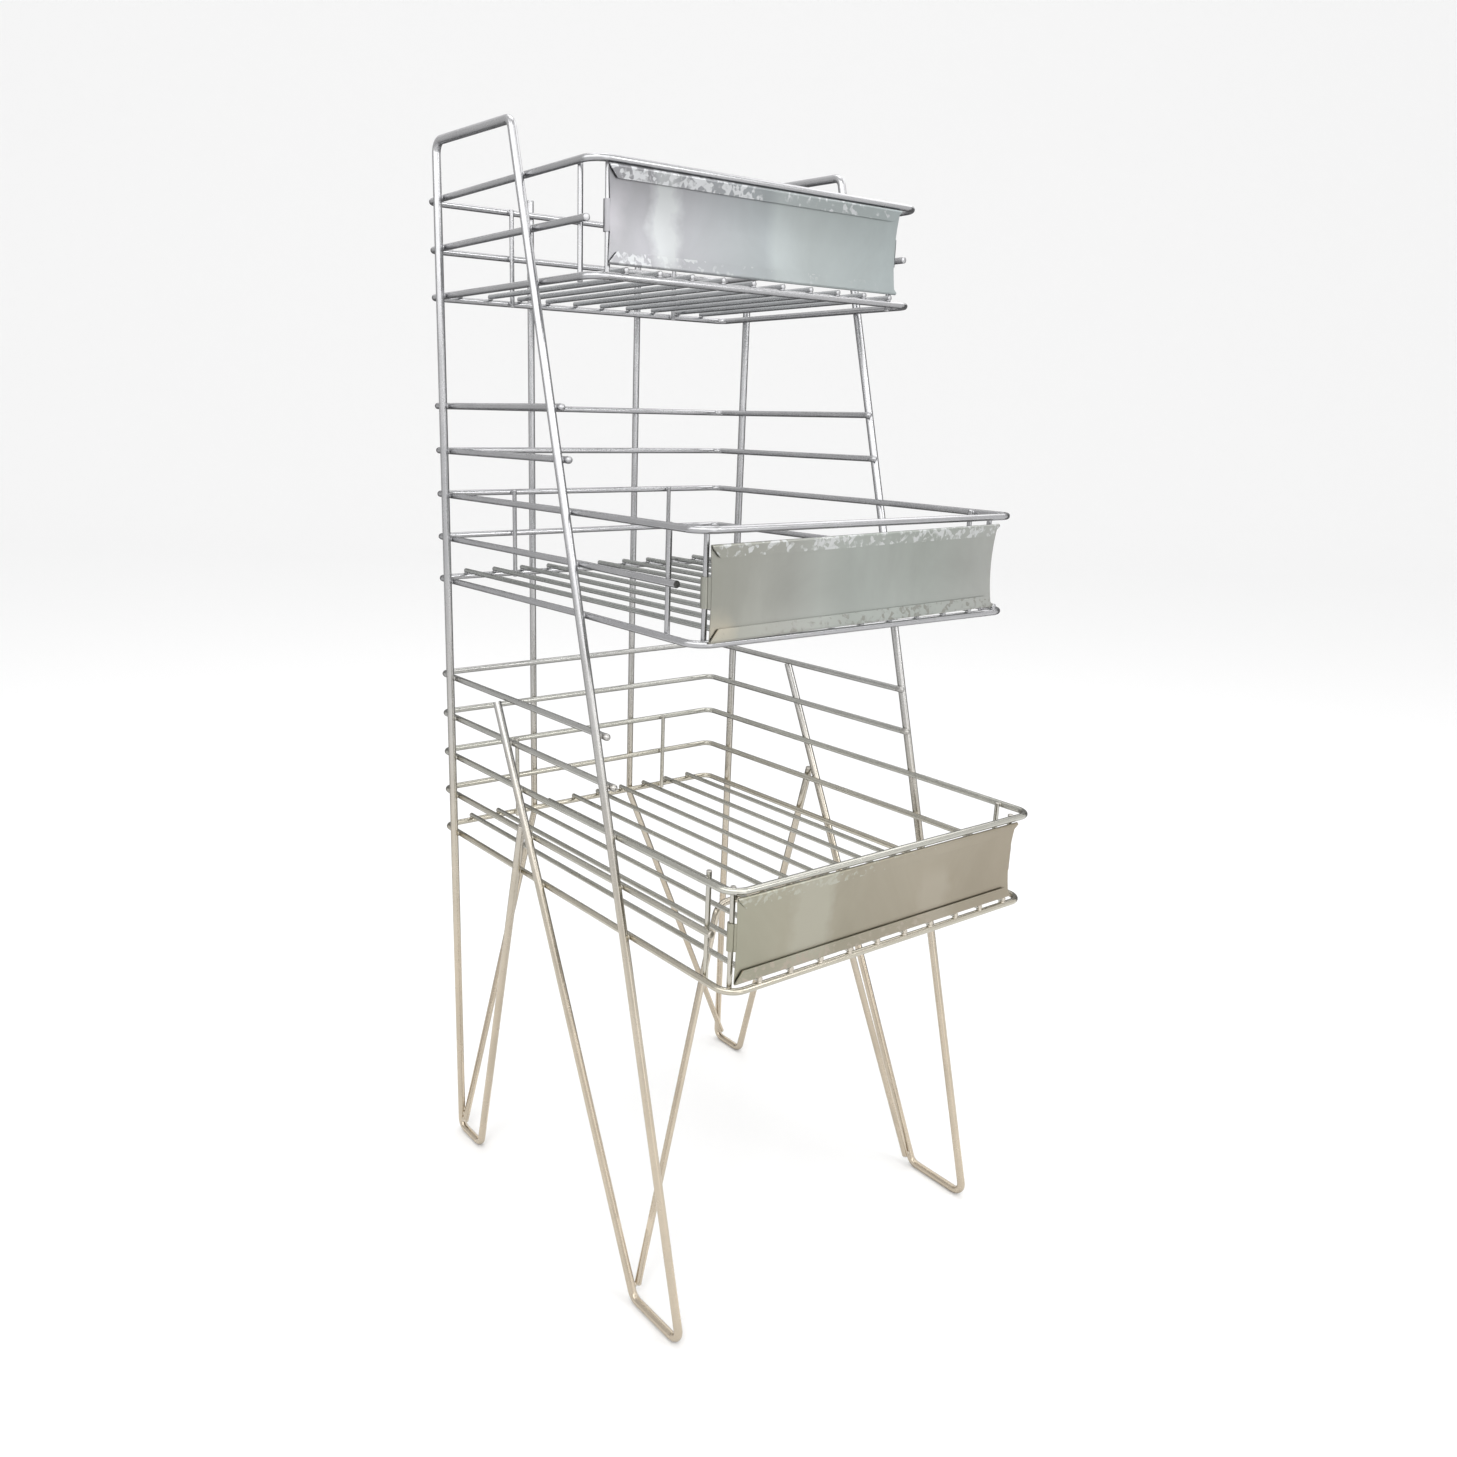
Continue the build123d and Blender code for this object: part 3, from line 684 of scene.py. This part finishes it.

# Looks of the three panels: the tilt of their ends, tones along the length, patches (start, end, low
# and high share, tone), both partly painted reflection, the tones of the crystals' painted highlights,
# and how common crystals are along the two lips
PALE = (1, 1, 1)
NONE = (0, 0, 0)
SHEETS = {
    "top_basket": {
        "tilt": 0.0,
        "tones": ((0.0, (0.255, 0.255, 0.265)), (0.14, (0.235, 0.235, 0.245)), (0.26, (0.27, 0.275, 0.285)),
                  (0.5, (0.27, 0.29, 0.295)), (0.54, (0.325, 0.35, 0.35)), (1.0, (0.33, 0.365, 0.365))),
        "patches": ((0.0, 0.05, 0.30, 0.75, (0.30, 0.295, 0.31)),
                    (0.135, 0.215, 0.0, 1.2, (0.36, 0.37, 0.375))),
        "spangle_highlight": (0.56, 0.57, 0.58),
        "low_spangle_highlight": (0.40, 0.41, 0.415),
        "upper": ((0.0, PALE), (0.4, PALE), (0.5, (0.45, 0.45, 0.45)), (0.9, (0.6, 0.6, 0.6)), (1.0, NONE)),
        "lower": ((0.0, (0.7, 0.7, 0.7)), (0.25, (0.6, 0.6, 0.6)),
                  (0.35, (0.3, 0.3, 0.3)), (1.0, (0.4, 0.4, 0.4))),
    },
    "middle_basket": {
        "tilt": 4.6 * MM,
        "tones": ((0.0, (0.31, 0.31, 0.275)), (0.25, (0.33, 0.335, 0.31)), (0.35, (0.37, 0.385, 0.36)),
                  (0.45, (0.34, 0.36, 0.335)), (0.74, (0.365, 0.385, 0.36)), (1.0, (0.375, 0.38, 0.36))),
        "patches": ((0.0, 0.06, 0.0, 0.25, (0.385, 0.36, 0.30)),),
        "spangle_highlight": (0.57, 0.58, 0.58),
        "low_spangle_highlight": (0.25, 0.25, 0.225),
        "upper": ((0.0, (0.5, 0.5, 0.5)), (0.28, (0.6, 0.6, 0.6)), (0.40, (0.9, 0.9, 0.9)),
                  (0.55, (0.55, 0.55, 0.55)), (0.75, (0.9, 0.9, 0.9)), (1.0, (0.6, 0.6, 0.6))),
        "lower": ((0.0, NONE), (0.2, (0.5, 0.5, 0.5)), (0.7, (0.75, 0.75, 0.75)), (1.0, (0.7, 0.7, 0.7))),
    },
    "bottom_basket": {
        "tilt": 0.0,
        "tones": ((0.0, (0.35, 0.34, 0.27)), (0.45, (0.345, 0.315, 0.25)), (1.0, (0.33, 0.29, 0.225))),
        "patches": ((0.18, 0.30, 0.1, 1.1, (0.385, 0.37, 0.305)),
                    (0.62, 0.72, -0.1, 0.6, (0.37, 0.335, 0.27))),
        "spangle_highlight": (0.44, 0.44, 0.38),
        "low_spangle_highlight": (0.40, 0.35, 0.29),
        "upper": ((0.0, (0.8, 0.8, 0.8)), (0.3, (0.6, 0.6, 0.6)), (0.6, (0.3, 0.3, 0.3)), (1.0, NONE)),
        "lower": ((0.0, (0.6, 0.6, 0.6)), (0.6, (0.55, 0.55, 0.55)), (1.0, NONE)),
    },
}


def metal_for(name):
    for shelf in SHELVES:
        if name == shelf + "_label_panel":
            return sheet_metal(name + "_plating", name, SHEETS[shelf])
    if name in LEGS:
        return leg_metal
    if name.endswith("_stay"):
        return stay_metal
    if name.endswith("_floor_wires"):
        return floor_metal
    return rail_metal


for name in sorted(nodes):
    paint(nodes[name], metal_for(name))

solids = {name: Solid(name) for name in sorted(nodes)}
wires_only = [s for s in solids.values() if not s.name.endswith("_label_panel")]

for name in LEGS:
    weld_piece(name + "_welds", [solids[name]], wires_only, 2, weld_metal)
for shelf in SHELVES:
    mine = [s for s in wires_only if s.name.startswith(shelf)]
    stays = [s for s in mine if s.name.endswith("_stay")]
    weld_piece(shelf + "_stay_welds", stays, mine, 2, weld_metal)
    floor = [solids[shelf + "_floor_wires"]]
    loop = [solids[shelf + "_floor_loop"]]
    weld_piece(shelf + "_floor_welds", floor, loop, 1, weld_metal)

for solid in wires_only:
    shape = KNOB if "guard" in solid.name else CUT_END
    end_piece(solid.name + "_ends", solid, shape, weld_metal)

sweep()
studio_cards()
foot_strips()
studio()
place_camera()
